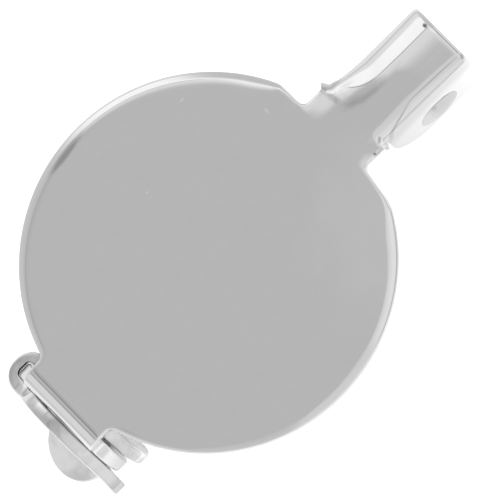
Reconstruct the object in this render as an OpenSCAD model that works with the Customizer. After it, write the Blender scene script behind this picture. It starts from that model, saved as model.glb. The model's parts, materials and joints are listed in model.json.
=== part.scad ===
// Brooch pin back: a round glue-on pad with a hinged pin stem and a turning safety lock.
// +X runs from the catch to the hinge and +Z is the outward normal of the pad's face.
// The origin is the centre of the pad's face, and lengths are millimetres.

/* [Pad] */
// Diameter of the round pad
pad_d = 15; // [14:0.5:18]
// Thickness of the stamped sheet
sheet_t = 0.6; // [0.5:0.05:0.65]
// Rounding of the pad's upper edge
rim_r = 0.45; // [0.2:0.05:0.45]
// Depth of the straight trim on each side of the neck
trim_cut = 0.6; // [0.3:0.05:0.8]
// Slant of the trim on the +Y side, back from a square cut
trim_lean_left = 4; // [0:1:15]
// Slant of the trim on the -Y side
trim_lean_right = 12; // [0:1:15]
// Radius of the small fillets where a tab leaves the pad
fillet_r = 0.3; // [0.15:0.05:0.4]

/* [Hinge] */
// Width of the flat neck between the pad and the hinge
neck_w = 3.3; // [3.2:0.1:3.8]
// Length of the flat neck past the pad's edge
neck_len = 0.8; // [0.6:0.1:1.2]
// Outside width of the folded hinge channel
channel_w = 3; // [2.9:0.1:3.2]
// Length of the hinge channel
channel_len = 4.5; // [4:0.1:5]
// Depth of the ears below the pad's face
ear_h = 4.5; // [4.4:0.1:4.8]
// Outside radius of the channel's shoulders
shoulder_r = 0.9; // [0.75:0.05:1]
// Rounding of the ears' lower corners on the side of the pad
ear_front_r = 1.9; // [1:0.1:2]
// Rounding of the ears' lower corners at the free end
ear_back_r = 1.1; // [0.6:0.1:1.2]
// Diameter of the hinge rivet
rivet_d = 1.8; // [1.4:0.1:1.9]

/* [Catch] */
// Width of the tab that folds down to the catch
tab_w = 3.9; // [3.6:0.1:4.2]
// Reach of the folded tab past the pad's edge
tab_reach = 1; // [0.95:0.05:1.2]
// Outside radius of the tab's fold
fold_r = 0.8; // [0.7:0.05:0.85]
// Diameter of the round catch plate
catch_d = 5.5; // [5.2:0.1:5.6]
// Depth of the pin's axis below the pad's face
pin_depth = 3.1; // [2.95:0.05:3.2]
// Width of the mouth in the catch plate
mouth_w = 1; // [0.95:0.05:1.1]
// Rounding of the mouth's lips
lip_r = 0.5; // [0.3:0.05:0.6]

/* [Lock] */
// Thickness of the lock's folded sheet
lock_t = 0.52; // [0.4:0.02:0.54]
// Reach of the lock's arms from its turning axis
lock_reach = 3.28; // [3.2:0.02:3.3]
// Radius of the lock's round middle
lock_r = 2.1; // [1.8:0.05:2.15]
// Diameter of the hub that turns in the catch plate
hub_d = 2.4; // [2.2:0.1:2.6]
// Width of the thumb tab
thumb_w = 2.6; // [2.2:0.1:2.8]
// Angle between the thumb tab and the lock's outer face
thumb_lean = 52; // [30:1:60]

/* [Pin] */
// Diameter of the pin stem's wire
wire_d = 0.8; // [0.7:0.02:0.8]
// Outside diameter of the eye around the rivet
eye_d = 2.9; // [2.6:0.1:3.2]
// Length of the stem's pointed tip
tip_len = 1.4; // [1:0.1:2]

/* [Hidden] */
$fn = 64;

// Clearances
rivet_gap = 0.01;
eye_gap = 0.04;
eye_side_gap = 0.12;
hub_gap = 0.05;
slot_gap = 0.07;
plate_gap_in = 0.1;
plate_gap_out = 0.08;
bridge_gap = 0.08;
tip_gap = 0.16;

// Places along X; the rivet's place is a share of the channel's length
rivet_share = 0.52;
neck_taper = 1.2;
pad_r = pad_d / 2;
trim_x = pad_r - trim_cut;
trim_end = pad_r - trim_cut / 2;
ear_x0 = pad_r + neck_len;
ear_x1 = ear_x0 + channel_len;
hinge_x = ear_x0 + rivet_share * channel_len;
catch_x = -pad_r - tab_reach;
fold_x = catch_x + fold_r;

// Round features; tip_r is the blunt end of the pin's point
under_r = 0.12;
tip_r = 0.06;
rivet_r = rivet_d / 2;
eye_r = eye_d / 2;
wire_r = wire_d / 2;
catch_r = catch_d / 2;
hub_r = hub_d / 2;
slot_w = wire_d + 2 * slot_gap;

// Bridge of the lock
bridge_wall = 0.33;
bridge_h = 1.8;
bridge_corner_r = 0.85;
bridge_inner_r = 0.2;

// Lock: its two flanges lie inside and outside the catch plate
outer_x = catch_x - plate_gap_out - lock_t;
inner_x = catch_x + sheet_t + plate_gap_in;
lock_len = inner_x + lock_t - outer_x;
bridge_in = catch_r + bridge_gap;
bridge_out = bridge_in + bridge_wall;
bridge_root = bridge_in - bridge_corner_r / 2;
arm_end_r = 0.65;
arm_drop = 12;
inner_arm_cut = 0.12;
thumb_y = -0.68;
lower_edge = -1.25;

// Rivet ends
rivet_proud = 0.08;
rivet_chamfer = 0.15;

// Overlap that joins shapes of one solid, depth of the tabs' roots in the pad, and overshoot of cuts
join = 0.2;
root = 1;
past = 1;

// Places children drawn in YZ at x0, measured from the pin's axis, and gives them a thickness along X
module cross_plate(x0, thickness) {
  translate([x0, 0, -pin_depth])
    rotate([90, 0, 90])
      linear_extrude(thickness)
        children();
}

// Cylinder along Y, centred on the middle plane
module along_y(r, length) {
  rotate([90, 0, 0])
    cylinder(r = r, h = length, center = true);
}

// Outline of a strip whose two ends are circles of radius r0 at the origin and r1 at distance d
module round_bar(r0, r1, d) {
  a = acos((r0 - r1) / d);
  circle(r0);
  translate([d, 0])
    circle(r1);
  polygon([
    [r0 * cos(a), r0 * sin(a)],
    [r0 * cos(a), -r0 * sin(a)],
    [d + r1 * cos(a), -r1 * sin(a)],
    [d + r1 * cos(a), r1 * sin(a)],
  ]);
}

// Square corner with the corner at the origin, left over outside a quarter circle of radius r
module corner_waste(r) {
  difference() {
    translate([-join, -join])
      square(r + join);
    translate([r, r])
      circle(r);
  }
}

// Round pad with a soft upper edge, trimmed straight beside the neck
module pad_disc() {
  difference() {
    rotate_extrude($fn = 128)
      intersection() {
        union() {
          translate([0, -sheet_t + under_r])
            square([pad_r, sheet_t - under_r - rim_r]);
          translate([0, -sheet_t])
            square([pad_r - rim_r, sheet_t]);
          translate([pad_r - rim_r, -rim_r])
            circle(rim_r);
          translate([0, -sheet_t])
            square([pad_r - under_r, sheet_t - rim_r]);
          translate([pad_r - under_r, -sheet_t + under_r])
            circle(under_r);
        }
        translate([0, -sheet_t])
          square([pad_r, sheet_t]);
      }
    for (side = [-1, 1])
      translate([trim_x, side * neck_w / 2, -past])
        rotate(side > 0 ? trim_lean_left : -trim_lean_right)
          translate([0, side * pad_r / 2 - pad_r / 2, 0])
            cube([pad_r, pad_r, 2 * past]);
    translate([trim_end, -pad_r, -past])
      cube([pad_r, pad_d, 2 * past]);
  }
}

// Flat sheet drawn in plan and kept flush with the pad's face
module flat_sheet() {
  translate([0, 0, -sheet_t])
    linear_extrude(sheet_t)
      children();
}

// Concave fillets between the pad's edge and the folded tab
module tab_fillets() {
  y = tab_w / 2 + fillet_r;
  x = sqrt(pow(pad_r - under_r + fillet_r, 2) - y * y);
  flat_sheet()
    for (side = [-1, 1])
      difference() {
        polygon([
          [-x, side * (tab_w / 2 - join)],
          [-x, side * y],
          [-x * (pad_r - join) / (pad_r + fillet_r), side * y * (pad_r - join) / (pad_r + fillet_r)],
          [-x * (pad_r - join) / (pad_r + fillet_r), side * (tab_w / 2 - join)],
        ]);
        translate([-x, side * y])
          circle(fillet_r);
      }
}

// Flat neck that narrows onto the top of the hinge channel
module neck() {
  crown = channel_w / 2 - shoulder_r;
  flat_sheet()
    polygon([
      [trim_x - root, neck_w / 2],
      [ear_x0, neck_w / 2],
      [ear_x0 + neck_taper, crown],
      [ear_x0 + neck_taper, -crown],
      [ear_x0, -neck_w / 2],
      [trim_x - root, -neck_w / 2],
    ]);
}

// Arch outline in YZ: straight legs and round shoulders
module arch(width, top, r) {
  for (side = [-1, 1])
    translate([side * (width / 2 - r), top - r])
      circle(r);
  translate([-width / 2 + r, -ear_h - past])
    square([width - 2 * r, ear_h + past + top]);
  translate([-width / 2, -ear_h - past])
    square([width, ear_h + past + top - r]);
}

// Side outline of the ears in XZ
module ear_side() {
  difference() {
    translate([ear_x0, -ear_h])
      square([channel_len, ear_h]);
    translate([ear_x0, -ear_h])
      corner_waste(ear_front_r);
    translate([ear_x1, -ear_h])
      mirror([1, 0])
        corner_waste(ear_back_r);
  }
}

// Folded channel whose two legs are the hinge ears
module hinge_channel() {
  difference() {
    intersection() {
      translate([ear_x0, 0, 0])
        rotate([90, 0, 90])
          linear_extrude(channel_len)
            difference() {
              arch(channel_w, 0, shoulder_r);
              arch(channel_w - 2 * sheet_t, -sheet_t, shoulder_r - sheet_t);
            }
      translate([0, channel_w, 0])
        rotate([90, 0, 0])
          linear_extrude(2 * channel_w)
            ear_side();
    }
    translate([hinge_x, 0, -pin_depth])
      along_y(rivet_r, channel_w + past);
  }
}

// Tab that leaves the pad and folds down through a right angle
module fold_tab() {
  flat_sheet()
    translate([fold_x, -tab_w / 2])
      square([root - pad_r - fold_x, tab_w]);
  translate([fold_x, tab_w / 2, -fold_r])
    rotate([90, 0, 0])
      rotate_extrude(angle = 90, start = 90)
        translate([fold_r - sheet_t, 0])
          square([sheet_t, tab_w]);
}

// Round catch plate with the hub's hole and a mouth for the pin, open downwards.
// The mouth's lips are circles that touch the mouth's sides and the plate's edge.
module catch_plate() {
  lip_y = mouth_w / 2 + lip_r;
  lip_z = sqrt(pow(catch_r - lip_r, 2) - lip_y * lip_y);
  lip_end = lip_y * catch_r / (catch_r - lip_r);
  cross_plate(catch_x, sheet_t)
    difference() {
      union() {
        circle(catch_r);
        translate([-tab_w / 2, 0])
          square([tab_w, pin_depth - fold_r]);
      }
      circle(hub_r + hub_gap);
      translate([-mouth_w / 2, -catch_r - past])
        square([mouth_w, catch_r + past]);
      difference() {
        translate([-lip_end, -catch_r - past])
          square([2 * lip_end, catch_r + past - lip_z]);
        for (side = [-1, 1])
          translate([side * lip_y, -lip_z])
            circle(lip_r);
      }
    }
}

module pad_plate() {
  color("silver") {
    pad_disc();
    tab_fillets();
    neck();
    hinge_channel();
    fold_tab();
    catch_plate();
  }
}

// Rivet through both ears, its ends peened a little proud
module hinge_rivet() {
  half = channel_w / 2 + rivet_proud;
  r = rivet_r - rivet_gap;
  color("gainsboro")
    translate([hinge_x, 0, -pin_depth])
      rotate([90, 0, 0])
        rotate_extrude()
          polygon([
            [0, -half],
            [r - rivet_chamfer, -half],
            [r, -half + rivet_proud],
            [r, half - rivet_proud],
            [r - rivet_chamfer, half],
            [0, half],
          ]);
}

// Pin stem: an eye on the rivet, a straight wire and a pointed tip held in the catch
module pin_stem() {
  tip_x = catch_x - plate_gap_out + tip_gap;
  eye_w = channel_w - 2 * sheet_t - 2 * eye_side_gap;
  color("lightsteelblue")
    difference() {
      union() {
        translate([hinge_x, 0, -pin_depth])
          along_y(eye_r, eye_w);
        translate([tip_x, 0, -pin_depth])
          rotate([0, 90, 0])
            rotate_extrude()
              polygon([
                [0, 0],
                [tip_r, 0],
                [wire_r, tip_len],
                [wire_r, hinge_x - tip_x - rivet_r - join],
                [0, hinge_x - tip_x - rivet_r - join],
              ]);
      }
      translate([hinge_x, 0, -pin_depth])
        along_y(rivet_r - rivet_gap + eye_gap, eye_w + past);
    }
}

// Outline of one flange of the lock: a round middle, a plain arm and the bridge's root
module lock_outline(reach) {
  circle(lock_r);
  rotate(180 + arm_drop)
    round_bar(lock_r, arm_end_r, reach - arm_end_r);
  polygon([
    [0, lock_r],
    [bridge_root, lower_edge + bridge_h],
    [bridge_root, lower_edge],
    [0, -lock_r],
  ]);
}

// Folded bridge of the lock, drawn in plan
module lock_bridge() {
  inside = [lock_len - 2 * lock_t, bridge_in];
  start = bridge_root - join;
  translate([0, 0, -pin_depth + lower_edge])
    linear_extrude(bridge_h)
      difference() {
        translate([outer_x, start])
          difference() {
            square([lock_len, bridge_out - start]);
            for (side = [0, 1])
              translate([side * lock_len, bridge_out - start])
                mirror([side, 0])
                  mirror([0, 1])
                    corner_waste(bridge_corner_r);
          }
        translate([outer_x + lock_t, 0])
          difference() {
            square(inside);
            for (side = [0, 1])
              translate([side * inside.x, inside.y])
                mirror([side, 0])
                  mirror([0, 1])
                    corner_waste(bridge_inner_r);
          }
      }
}

// Half-round thumb tab that leans out from the lower edge of the outer flange
module thumb_tab() {
  translate([outer_x, thumb_y, -pin_depth + lower_edge])
    rotate([0, thumb_lean, 0])
      rotate([90, 0, 90])
        linear_extrude(lock_t)
          intersection() {
            circle(thumb_w / 2);
            translate([-thumb_w, -thumb_w + join])
              square([2 * thumb_w, thumb_w]);
          }
}

// Turning lock: two flanges, the bridge that joins them and a slotted hub through the plate
module catch_lock() {
  slot_drop = lock_r + past;
  color("whitesmoke")
    difference() {
      union() {
        cross_plate(outer_x, lock_t)
          difference() {
            lock_outline(lock_reach);
            translate([-2 * lock_r, lower_edge - 2 * lock_r])
              square([4 * lock_r, 2 * lock_r]);
          }
        cross_plate(inner_x, lock_t)
          lock_outline(lock_reach - inner_arm_cut);
        cross_plate(outer_x, lock_len)
          circle(hub_r);
        lock_bridge();
        thumb_tab();
      }
      cross_plate(outer_x + lock_t, lock_len)
        union() {
          circle(slot_w / 2);
          translate([-slot_w / 2, -slot_drop])
            square([slot_w, slot_drop]);
        }
    }
}

pad_plate();
hinge_rivet();
pin_stem();
catch_lock();
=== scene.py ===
"""Brooch pin back: the looks of its sheet, rivet, stem and turning lock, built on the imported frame.

Lengths are metres in the frame's own axes: +X from the catch to the hinge, +Z out of the pad's face.
"""

import json
import math

import bmesh
import bpy
import numpy as np
from bpy.props import FloatProperty, FloatVectorProperty, PointerProperty
from bpy.types import Operator, Panel, PropertyGroup
from mathutils import Matrix, Vector


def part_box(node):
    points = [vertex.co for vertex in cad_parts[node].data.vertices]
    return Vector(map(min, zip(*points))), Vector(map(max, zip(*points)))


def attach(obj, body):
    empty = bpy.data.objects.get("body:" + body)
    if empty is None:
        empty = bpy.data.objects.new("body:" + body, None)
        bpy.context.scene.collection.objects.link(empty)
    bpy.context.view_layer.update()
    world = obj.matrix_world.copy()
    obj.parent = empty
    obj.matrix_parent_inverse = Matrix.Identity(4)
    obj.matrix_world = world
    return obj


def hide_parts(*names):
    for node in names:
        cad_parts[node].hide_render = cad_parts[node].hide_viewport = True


bl_info = {
    "name": "Brooch pin back",
    "version": (1, 0, 0),
    "blender": (4, 5, 0),
    "location": "3D View > Sidebar > Pin back",
    "description": "Models a glue-on brooch back with a hinged stem and a turning lock",
    "category": "Add Mesh",
}

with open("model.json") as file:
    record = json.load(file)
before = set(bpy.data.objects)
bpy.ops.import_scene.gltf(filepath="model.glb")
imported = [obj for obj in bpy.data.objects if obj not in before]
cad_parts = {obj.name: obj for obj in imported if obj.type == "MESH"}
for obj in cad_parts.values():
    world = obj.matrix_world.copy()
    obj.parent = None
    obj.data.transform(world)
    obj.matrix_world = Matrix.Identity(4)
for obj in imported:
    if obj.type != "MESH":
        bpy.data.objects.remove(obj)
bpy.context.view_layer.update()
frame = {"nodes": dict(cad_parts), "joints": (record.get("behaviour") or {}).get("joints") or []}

MM = 0.001
QUARTER = math.pi / 2
# Points nearer to each other than this are one
WELD = 1e-7
# Points round a rounded edge, a dome and a lathe's ring, and the weight that keeps flat faces flat
EDGE_STEPS, DOME_STEPS, LATHE_STEPS = 7, 8, 96
FLAT_WEIGHT = 100
PAD_LOW, PAD_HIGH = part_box("pad_plate")
_, LOCK_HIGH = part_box("catch_lock")
_, RIVET_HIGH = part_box("hinge_rivet")
JOINTS = {joint["name"]: joint for joint in frame["joints"]}
RIVET_X, _, RIVET_Z = JOINTS["pin_swing"]["pos_m"]
LOCK_X, _, LOCK_Z = JOINTS["lock_turn"]["pos_m"]


def length(name, text, default, low=0.0, high=0.1):
    """A length property in metres; the default is given in millimetres."""
    return FloatProperty(
        name=name, description=text, default=MM * default, min=low, max=high,
        subtype="DISTANCE", unit="LENGTH",
    )


def angle(name, text, degrees):
    """An angle property, given in degrees and kept in radians."""
    return FloatProperty(
        name=name, description=text, default=math.radians(degrees), subtype="ANGLE", unit="ROTATION"
    )


def colour(name, text, default):
    """A colour property."""
    return FloatVectorProperty(
        name=name, description=text, default=default, size=3, min=0, max=1, subtype="COLOR"
    )


def factor(name, text, default, high=1.0):
    """A plain number from 0 to high."""
    return FloatProperty(name=name, description=text, default=default, min=0, max=high, subtype="FACTOR")


def strength(name, text, default):
    """A strength from 0 upwards."""
    return FloatProperty(name=name, description=text, default=default, min=0)


class SheetProps(PropertyGroup):
    """Sizes of the stamped sheet: pad, neck, hinge channel, tab and catch plate."""

    pad_radius: length("Pad radius", "Radius of the round pad", 7.52)
    sheet: length("Sheet", "Thickness of the stamped sheet", 0.6)
    rim: length("Rim", "Width of the roll-over at the pad's upper edge", 0.43)
    rim_change: length(
        "Rim change",
        "How much wider the roll-over is towards the hinge, and narrower towards the catch",
        0.15,
    )
    end_rim: length("End rim", "Width of the roll-over at the channel's end", 0.25)
    roll: angle("Roll-over", "Slope that the roll-over reaches before the edge turns sharply down", 35)
    edge: length("Edge", "Rounding of all other edges", 0.1)
    trim_x: length("Trim", "Place of the straight trim beside the neck", 6.92)
    trim_left: angle("Left trim", "Slant of the trim on the +Y side", 0.5)
    trim_right: angle("Right trim", "Slant of the trim on the -Y side", 8)
    trim_corner_left: length("Left corner", "Rounding where the +Y trim meets the pad's circle", 0.8)
    trim_corner_right: length("Right corner", "Rounding where the -Y trim meets the pad's circle", 2)
    neck_left: length("Neck, left", "Width of the neck from its middle to +Y", 1.66)
    neck_right: length("Neck, right", "Width of the neck from its middle to -Y", 1.72)
    neck_fillet: length("Neck fillet", "Radius of the fillets between the neck and the trim", 0.3)
    strip_half: length("Crown strip", "Half the width of the sheet that becomes the channel's crown", 1.55)
    ear_front: length("Ears", "Where the ears begin", 8.3)
    channel_half: length("Channel", "Half the outside width of the hinge channel", 1.52)
    crown: length("Crown", "Outside radius of the channel's crown on the +Y side", 1.9)
    crown_right: length("Crown, right", "Outside radius of the channel's crown on the -Y side", 8)
    dip: length("Neck dip", "How far the neck's edges are bent down before the ears begin", 0.12)
    dip_start: length("Dip start", "Where the neck's edges begin to bend down", 6.6)
    dip_half: length("Dip middle", "Half the width of the neck that stays flat", 0.7)
    curl_length: length("Curl length", "Length of the neck over which the ears' bend begins", 0.4)
    droop_start: length("Droop start", "Where the crown begins to slope down towards the channel's end", 9.7)
    droop_full: length("Droop full", "Where the crown has its full downward slope", 11.1)
    droop: factor("Droop", "Downward slope of the crown at the channel's end", 0.1)
    crown_length: length("Crown length", "Length of the channel over which its crown rises", 1.7)
    splay: angle("Splay", "Outward lean of the ear on the -Y side", 2.4)
    crown_half: length("Crown width", "Flat width that bends into the crown's +Y half", 0.99)
    crown_half_right: length("Crown width, right", "Flat width that bends into the crown's -Y half", 0.93)
    bulge: length("Bulge", "Swelling of the +Y ear's front corner", 0.2)
    bulge_length: length("Bulge length", "Half the length of that swelling", 0.3)
    ear_depth: length("Ear depth", "Depth of the ears below the pad's face", 4.5)
    ear_front_radius: length("Ear front", "Rounding of the ears' lower front corners", 1.9)
    ear_back_radius: length("Ear back", "Rounding of the ears' lower back corners", 1.1)
    rivet_hole: length("Rivet hole", "Radius of the rivet's holes", 0.9)
    tab_half: length("Tab", "Half the width of the folded tab", 1.95)
    fillet: length("Fillet", "Radius of the fillets beside the tab", 0.3)
    fold: length("Fold", "Outside radius of the tab's fold", 0.8)
    plate_radius: length("Catch plate", "Radius of the catch plate", 2.75)
    hub_hole: length("Hub hole", "Radius of the hole for the lock's hub", 1.25)
    mouth_half: length("Mouth", "Half the width of the mouth", 0.5)
    lip: length("Lips", "Rounding of the mouth's lips", 0.5)


class LockProps(PropertyGroup):
    """Sizes of the turning lock, a strip folded round the catch plate, and of its hub."""

    sheet: length("Sheet", "Thickness of the lock's strip", 0.56)
    flange: length("Flange", "Radius of the two round flanges", 2.1)
    reach: length("Arm", "Reach of the arms from the pin's axis", 3.36)
    arm: length("Arm width", "Half the width of the arms' ends", 0.65)
    drop: angle("Arm drop", "Slant of the arms below the level", 12)
    bridge: length("Bridge", "Distance from the pin's axis to the inside of the bridge", 2.8)
    wall: length("Bridge wall", "Thickness of the bridge", 0.4)
    corner: length("Bridge corners", "Outside radius of the bridge's corners", 0.85)
    inner_corner: length("Inner corners", "Inside radius of the bridge's corners", 0.2)
    bridge_top: length("Bridge top", "Height of the bridge's upper edge over the pin's axis", 0.55)
    bridge_foot: length("Bridge foot", "Depth of the bridge's lower edge below the pin's axis", 1.25)
    fillet: length("Fillet", "Radius of the fillets between the flanges and the bridge", 0.4)
    slot: length("Slot", "Half the width of the slot for the pin", 0.47)
    hub: length("Hub", "Radius of the hub", 1.2)
    thumb: length("Thumb tab", "Half the width of the thumb tab", 1.5)
    thumb_reach: length("Thumb reach", "Length of the thumb tab", 1.82)
    thumb_y: length("Thumb place", "Place of the thumb tab along Y", -0.7, low=-0.1)
    thumb_lean: angle("Thumb lean", "Lean of the thumb tab away from the flange", 52)
    flare: angle("Flare", "Outward lean of the outer arm's end", 4)
    inner_flare: angle("Inner flare", "Outward lean of the inner arm's end", 11)
    flare_start: length("Flare start", "Where the flare begins along the arm", 1.4)
    thumb_bend: length("Thumb bend", "Inside radius of the thumb tab's bend", 0.25)
    outer_edge: length("Outer edge", "Rounding of the edges on the strip's outer side", 0.12)
    inner_edge: length("Inner edge", "Rounding of the edges on the strip's inner side", 0.08)
    lip: length("Lips", "Rounding of the slot's mouth", 0.25)
    gap: length("Gap", "Gap between the catch plate and the outer flange", 0.06)
    inner_reach: length("Inner arm", "Reach of the inner flange's arm from the pin's axis", 3.16)


class RivetProps(PropertyGroup):
    """Sizes of the hinge rivet."""

    radius: length("Radius", "Radius of the rivet's shank", 0.88)
    head: length("Head", "Radius of the peened ends", 0.95)
    rise: length("Rise", "Height of the peened ends over the ears", 0.07)
    crown: length("Crown", "Height of the ends' middle over their rim", 0.03)
    splay: length("Splay", "How much farther the -Y end reaches, to follow its ear", 0.1)


class FinishProps(PropertyGroup):
    """Colours and gloss of the silver plate, and the colours of its painted highlights, painted shade and
    pits.
    """

    silver: colour("Silver", "Colour of the bright plate", (0.70, 0.70, 0.70))
    end: colour("Rivet", "Colour of the rivet's peened ends", (0.57, 0.57, 0.57))
    steel: colour("Wire", "Colour of the plated wire", (0.66, 0.66, 0.67))
    # Painted highlight: a light colour laid over places of the plate, standing in for reflected light
    bright: colour("Burnished", "Colour of the burnished patches", (0.95, 0.95, 0.95))
    # Painted shade: a dark colour laid over places of the plate, standing in for dark reflections and shade
    tarnish: colour("Tarnish", "Colour of the tarnished patches", (0.42, 0.42, 0.42))
    # Painted shade, near black: dark spots and thin dark lines laid at edges and in creases
    soot: colour("Dirt", "Colour of the dirt in the creases", (0.04, 0.04, 0.04))
    pit: colour("Pits", "Colour of the small pits", (0.95, 0.95, 0.95))
    gloss: factor("Roughness", "Roughness of the clean plate", 0.045)


class StageProps(PropertyGroup):
    """Camera, floor and light."""

    lean: angle("Lean", "Lean of the view from straight above towards -Y", 11.8)
    lean_x: angle("Side lean", "Lean of the view towards +X", 2)
    distance: length("Distance", "Distance of the camera from the pad's centre", 300, high=10)
    pixel: length("Pixel", "Size of one pixel at the pad", 1 / 25.6)
    pad_right: factor("Pad right", "Pixels from the picture's left edge to the pad's centre", 206.9, high=500)
    pad_down: factor("Pad down", "Pixels from the picture's top edge to the pad's centre", 261.2, high=500)
    lamp: strength("Lamp", "Strength of the lamp that lights the floor", 1.4)
    lift: strength("Lift", "Extra brightness of the floor as the camera sees it", 0.4)
    glow: strength("Glow", "Glow of the floor sheet", 0.12)
    floor_colour: colour("Floor", "Colour of the floor", (0.93, 0.93, 0.93))


def line(start, end, steps):
    """Points on a straight line at even steps from start, the end left out."""
    share = np.arange(steps)[:, None] / steps
    return (1 - share) * np.array(start) + share * np.array(end)


def arc(centre, radius, start, end, steps):
    """Points on a circle at even steps from the angle start towards the angle end, the end left out.
    Angles are in radians, and a pair of radii makes an oval."""
    turn = start + (end - start) * np.arange(steps) / steps
    return np.array(centre) + np.array(radius) * np.stack([np.cos(turn), np.sin(turn)], axis=1)


def traced(stretches, steps):
    """One line of points from named stretches, each a function and where it runs, and where each of them
    starts."""
    rows = [kind(*where, steps[name]) for name, (kind, *where) in stretches.items()]
    starts = np.cumsum([0] + [len(row) for row in rows])
    return np.concatenate(rows), dict(zip(stretches, starts))


def between(first, last, shares):
    """Grid of points: row k lies at shares[k] of the way from each point of first to that of last."""
    shares = np.asarray(shares, float)[:, None, None]
    return (1 - shares) * first + shares * last


def columns_between(first, last, steps):
    """The grid of between at even shares, with a row for each point of first and a column for each share."""
    return np.moveaxis(between(first, last, np.linspace(0, 1, steps + 1)), 0, 1)


def smooth(x, low, high):
    """0 below low, 1 above high, and the curve 3s^2 - 2s^3 between them."""
    s = np.clip((x - low) / (high - low), 0, 1)
    return s * s * (3 - 2 * s)


def mitres(outline):
    """Inward offset vectors of a closed outline that runs anticlockwise: (n1 + n2) / (1 + n1.n2), with n1 and
    n2 the inward normals of the two sides that meet at a point."""
    side = np.roll(outline, -1, axis=0) - outline
    side /= np.linalg.norm(side, axis=1, keepdims=True)
    after = np.stack([-side[:, 1], side[:, 0]], axis=1)
    before = np.roll(after, 1, axis=0)
    return (after + before) / (1 + np.sum(after * before, axis=1, keepdims=True))


def edge_profile(top, bottom, sheet, wide=0.0, roll=0.0):
    """Inset and depth of an edge's points, from the upper face round to the lower one: a roll-over of radius
    top + wide up to the slope roll, an arc of radius top to the upright wall, and a quarter circle of radius
    bottom. wide may be an array with one value for each point along the edge."""
    turn = np.linspace(0, QUARTER, EDGE_STEPS)[:, None]
    upper = turn
    if roll:
        upper = np.unique(np.concatenate([turn[:, 0], np.linspace(0, roll, EDGE_STEPS)]))[:, None]
    rolled = np.minimum(upper, roll)
    inset = top * (1 - np.sin(upper)) + wide * (math.sin(roll) - np.sin(rolled))
    depth = top * (1 - np.cos(upper)) + wide * (1 - np.cos(rolled))
    flat = np.zeros_like(inset[:1])
    inset = np.concatenate([inset, bottom * (1 - np.cos(turn)) + flat])
    depth = np.concatenate([depth, sheet - bottom * (1 - np.sin(turn)) + flat])
    return inset, depth


def grid3(plan, depth):
    """Grid of (u, v, depth) points from a grid of (u, v) points and a depth."""
    depth = np.broadcast_to(depth, plan.shape[:-1])
    return np.concatenate([plan, depth[..., None]], axis=-1)


def edge_grid(outline, offsets, profile):
    """Closed grid of an outline's edge: each row is the outline moved inwards by the profile's inset, at its
    depth."""
    inset, depth = profile
    return grid3(outline + inset[..., None] * offsets, depth), True


def quads(rows, columns, closed):
    """Corners of the quads between neighbouring rows and columns of a grid; closed joins its last column to
    its first."""
    index = np.arange(rows * columns).reshape(rows, columns)
    if closed:
        index = np.hstack([index, index[:, :1]])
    corners = [index[:-1, :-1], index[:-1, 1:], index[1:, 1:], index[1:, :-1]]
    return np.stack(corners, axis=-1).reshape(-1, 4)


def linked(name, data):
    """New object in the scene's own collection."""
    made = bpy.data.objects.new(name, data)
    bpy.context.scene.collection.objects.link(made)
    return made


def shell(name, patches):
    """Object whose mesh joins grids of points, each (points, closed): equal points are merged and the faces
    turned outwards."""
    points, faces, start = [], [], 0
    for grid, closed in patches:
        rows, columns = grid.shape[:2]
        points.append(grid.reshape(-1, 3))
        faces.append(quads(rows, columns, closed) + start)
        start += rows * columns
    mesh = bpy.data.meshes.new(name)
    mesh.from_pydata(np.concatenate(points).tolist(), [], np.concatenate(faces).tolist())
    work = bmesh.new()
    work.from_mesh(mesh)
    bmesh.ops.remove_doubles(work, verts=work.verts, dist=WELD)
    bmesh.ops.dissolve_degenerate(work, edges=work.edges, dist=WELD)
    bmesh.ops.recalc_face_normals(work, faces=work.faces)
    open_edges = sum(not edge.is_manifold for edge in work.edges)
    work.to_mesh(mesh)
    work.free()
    if open_edges:
        raise RuntimeError(f"{name} has {open_edges} open edges")
    mesh.shade_smooth()
    made = linked(name, mesh)
    weighted = made.modifiers.new("Flat faces stay flat", "WEIGHTED_NORMAL")
    weighted.weight = FLAT_WEIGHT
    weighted.keep_sharp = True
    return made


def bend(distance, curvature, start):
    """Forward and downward travel along an arc of a given length, curvature and starting slope:
    its chord is distance * sin(h) / h at the slope start + h, where h = curvature * distance / 2."""
    half = curvature * distance / 2
    chord = distance * np.sinc(half / math.pi)
    return chord * np.cos(start + half), chord * np.sin(start + half)


# Steps along the stretches of the blank's outline on one side, in order
STEPS = dict(
    end=26, back=6, back_corner=12, foot=4, front_corner=14, front=12, neck=30, neck_fillet=8,
    trim=8, trim_corner=8, disc=200, fillet=8, tab_flat=3, tab_fold=16, tab_drop=3, plate=24,
    lip=6, mouth=6, hub=32, top=1,
)
TAB_HALF_STEPS = 8
CHANNEL_STEPS = 44
# Outline points past the trim over which the roll-over still grows, and over which it fades at its other ends
RIM_GROWS, RIM_FADES = 12, 4
# Rows of points on the faces of the ears, the disc and the catch plate, by their share of the way across
EAR_ROWS = (0, 0.06, 0.5, 0.94, 1)
DISC_ROWS = (0, 0.3, 0.6, 0.9, 0.97, 1)
PLATE_ROWS = (0, 0.1, 0.5, 0.9, 1)
# Longer than any wall, for a stretch with no end
ENDLESS = 1.0


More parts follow.
